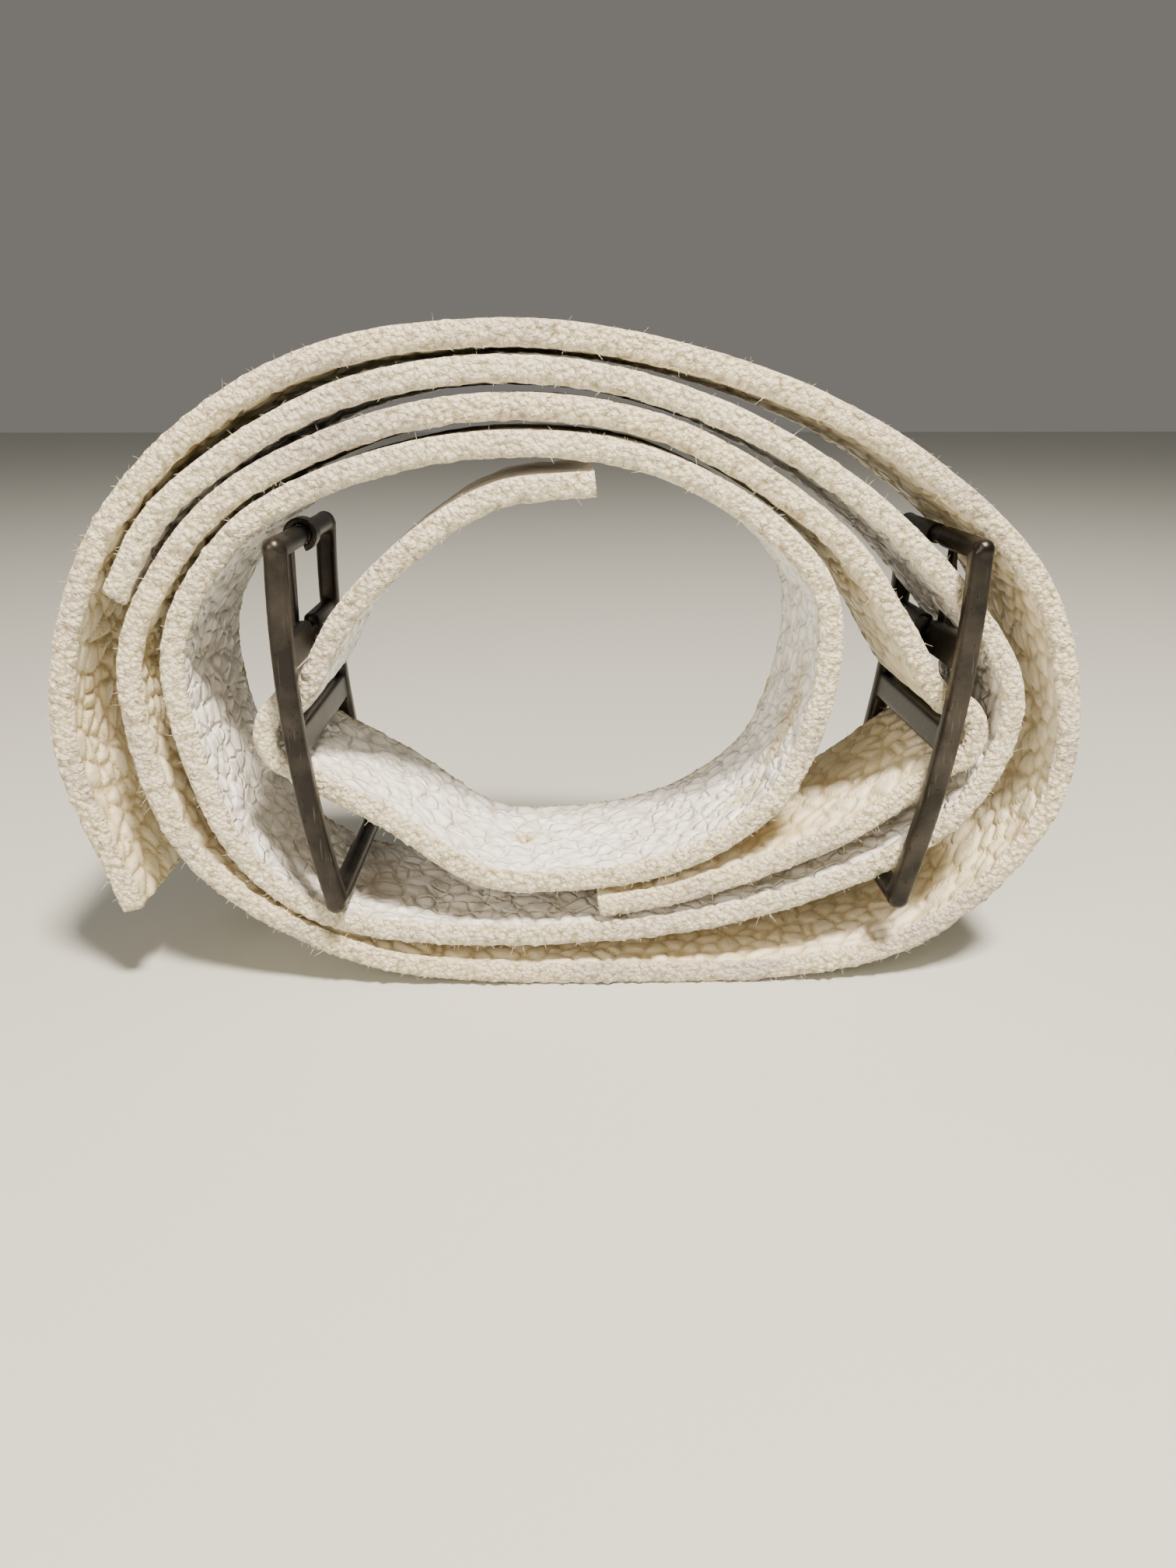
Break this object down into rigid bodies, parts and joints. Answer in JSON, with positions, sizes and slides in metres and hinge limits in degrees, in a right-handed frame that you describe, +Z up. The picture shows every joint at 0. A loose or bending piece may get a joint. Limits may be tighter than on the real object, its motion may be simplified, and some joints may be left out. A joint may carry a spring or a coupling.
{
  "type": "rolled leather belt with prong buckles",
  "caption": "Wide leather belt straps rolled up together, each folded round the middle bar of a cast frame buckle with an open hook prong.",
  "frame": {"origin": "under the middle of the roll, on the surface that it stands on", "axes": "+Z up, +X along the roll's length, +Y along the straps' width, away from the near edges"},
  "size_m": [0.1828, 0.0444, 0.1185],
  "materials": {
    "cream_leather": "pebbled",
    "white_leather": "creased",
    "buckle_metal": "worn gunmetal"
  },
  "bodies": {
    "roll": {"strap_outer": "cream_leather", "strap_inner": "white_leather", "buckle_frame_right": "buckle_metal"},
    "left_buckle": {"buckle_frame_left": "buckle_metal"},
    "left_prong": {"prong_left": "buckle_metal"},
    "right_prong": {"prong_right": "buckle_metal"}
  },
  "joints": [
    {"name": "left_buckle_pivot", "type": "hinge", "parent": "roll", "child": "left_buckle", "pos_m": [-0.04785, 0, 0.05], "axis": [0, 1, 0], "range_deg": [-1, 1.5]},
    {"name": "left_prong_swing", "type": "hinge", "parent": "left_buckle", "child": "left_prong", "pos_m": [-0.04848, 0, 0.08326], "axis": [0, 1, 0], "range_deg": [0, 30]},
    {"name": "right_prong_swing", "type": "hinge", "parent": "roll", "child": "right_prong", "pos_m": [0.06767, 0, 0.06463], "axis": [0, 1, 0], "range_deg": [-1, 2.5]}
  ]
}
